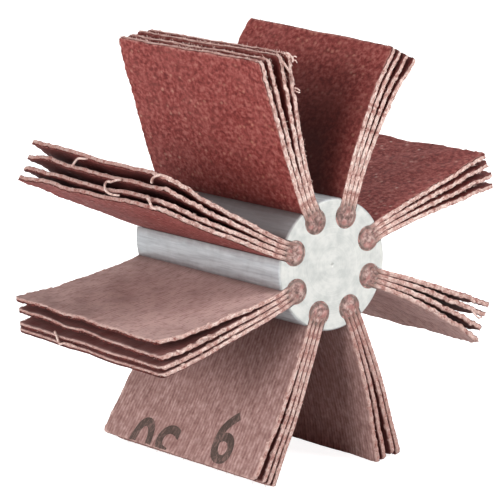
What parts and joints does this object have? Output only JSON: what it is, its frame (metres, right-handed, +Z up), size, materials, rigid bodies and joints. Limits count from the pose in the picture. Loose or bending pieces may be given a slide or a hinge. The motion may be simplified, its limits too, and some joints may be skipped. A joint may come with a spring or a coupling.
{
  "type": "flap bore polisher",
  "caption": "Bore polishing wheel: a slotted aluminium hub with packs of abrasive-cloth flaps held in keyhole slots, screwed on by a tapped hole in its rear face.",
  "frame": {"origin": "centre of the hub's rear face, at the mouth of the tapped hole", "axes": "+Y along the hub axis and out of the tapped hole, so the plain front face looks toward -Y; +Z up, with the wheel resting on the tips of its two lower flap packs"},
  "size_m": [0.0616, 0.035, 0.0613],
  "materials": {
    "hub": "satin, machined, lengthwise drawing streaks",
    "abrasive_cloth": "aluminium oxide grit on one face, woven cloth on the other",
    "root_resin": "dull set resin mixed with cloth threads"
  },
  "bodies": {
    "root": {"hub": "hub", "root_bead_1": "root_resin", "root_bead_2": "root_resin", "root_bead_3": "root_resin", "root_bead_4": "root_resin", "root_bead_5": "root_resin", "root_bead_6": "root_resin", "root_bead_7": "root_resin", "root_bead_8": "root_resin", "flap_1_1": "abrasive_cloth", "flap_1_2": "abrasive_cloth", "flap_1_3": "abrasive_cloth", "flap_1_4": "abrasive_cloth", "flap_2_1": "abrasive_cloth", "flap_2_2": "abrasive_cloth", "flap_2_3": "abrasive_cloth", "flap_2_4": "abrasive_cloth", "flap_3_1": "abrasive_cloth", "flap_3_2": "abrasive_cloth", "flap_3_3": "abrasive_cloth", "flap_3_4": "abrasive_cloth", "flap_4_1": "abrasive_cloth", "flap_4_2": "abrasive_cloth", "flap_4_3": "abrasive_cloth", "flap_4_4": "abrasive_cloth", "flap_5_1": "abrasive_cloth", "flap_5_2": "abrasive_cloth", "flap_5_3": "abrasive_cloth", "flap_5_4": "abrasive_cloth", "flap_6_1": "abrasive_cloth", "flap_6_2": "abrasive_cloth", "flap_6_3": "abrasive_cloth", "flap_6_4": "abrasive_cloth", "flap_7_1": "abrasive_cloth", "flap_7_2": "abrasive_cloth", "flap_7_3": "abrasive_cloth", "flap_7_4": "abrasive_cloth", "flap_8_1": "abrasive_cloth", "flap_8_2": "abrasive_cloth", "flap_8_3": "abrasive_cloth", "flap_8_4": "abrasive_cloth"}
  },
  "joints": []
}
